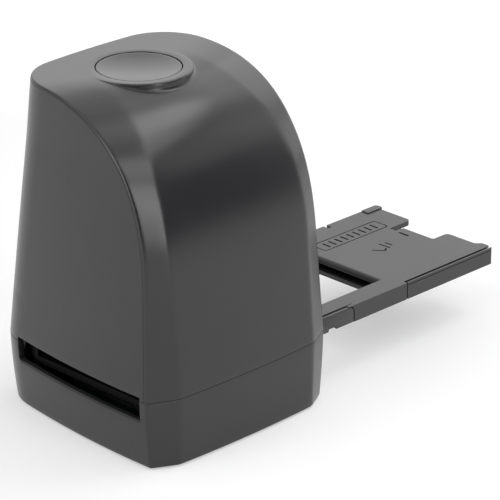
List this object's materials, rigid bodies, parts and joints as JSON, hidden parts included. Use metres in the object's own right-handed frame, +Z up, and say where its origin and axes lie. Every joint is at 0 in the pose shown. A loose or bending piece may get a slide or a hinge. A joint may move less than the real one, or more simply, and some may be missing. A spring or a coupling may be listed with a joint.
{
  "type": "film negative scanner",
  "caption": "Upright desktop film and slide scanner with a curved front, a round button on its roof and a flat slide tray that runs through it from side to side.",
  "frame": {"origin": "on the table under the middle of the scanning gate, on the body's left-right centre plane", "axes": "+X to the viewer's right, along the tray, with the curved front towards -Y and +Z up"},
  "size_m": [0.1804, 0.0884, 0.1195],
  "materials": {
    "shell": "satin moulded charcoal plastic",
    "button": "satin moulded charcoal plastic",
    "tray": "fine matt moulded charcoal plastic",
    "inner": "matt black plastic",
    "rubber": "matt black rubber",
    "steel": "bright steel",
    "board": "green solder mask on board",
    "chip": "black moulded resin",
    "white": "white diffusing plastic",
    "led": "pale yellow lamp resin",
    "glass": "clear coated lens glass"
  },
  "bodies": {
    "body": {"base_housing": "shell", "front_hood": "shell", "rear_shell": "shell", "foot_front_left": "rubber", "foot_front_right": "rubber", "foot_rear_left": "rubber", "foot_rear_right": "rubber", "base_screw_front_left": "steel", "base_screw_front_right": "steel", "base_screw_rear_left": "steel", "base_screw_rear_right": "steel", "tray_guide": "inner", "guide_cover": "inner", "click_spring": "steel", "guide_screw_front_left": "steel", "guide_screw_front_right": "steel", "guide_screw_rear_left": "steel", "guide_screw_rear_right": "steel", "backlight_board": "board", "light_box": "white", "diffuser": "white", "backlight_led_1": "led", "backlight_led_2": "led", "backlight_led_3": "led", "backlight_led_4": "led", "camera_tower": "inner", "lens_barrel": "chip", "scan_lens": "glass", "sensor_board": "board", "image_sensor": "chip", "tower_screw_left": "steel", "tower_screw_right": "steel", "main_board": "board", "cable_socket": "steel", "image_processor": "chip", "switch_board": "board", "switch_screw_left": "steel", "switch_screw_right": "steel", "switch_body": "chip", "button_spring": "steel"},
    "tray": {"tray_frame": "tray", "tray_lid": "tray", "tray_latch": "tray", "lid_hinge_pin_right": "steel", "lid_hinge_pin_left": "steel"},
    "button": {"button_cap": "button"},
    "plunger": {"switch_plunger": "chip"}
  },
  "joints": [
    {"name": "tray_slide", "type": "slide", "parent": "body", "child": "tray", "axis": [1, 0, 0], "range_m": [-0.132, 0.03]},
    {"name": "button_press", "type": "slide", "parent": "body", "child": "button", "axis": [0, 0, -1], "range_m": [0, 0.001], "stiffness_N_per_m": 900, "springref_m": -0.0012, "deforming": ["button_spring"]},
    {"name": "plunger_press", "type": "slide", "parent": "body", "child": "plunger", "axis": [0, 0, -1], "range_m": [0, 0.001]}
  ],
  "couplings": [
    {"joint": "plunger_press", "follows": "button_press", "ratio": 1}
  ]
}
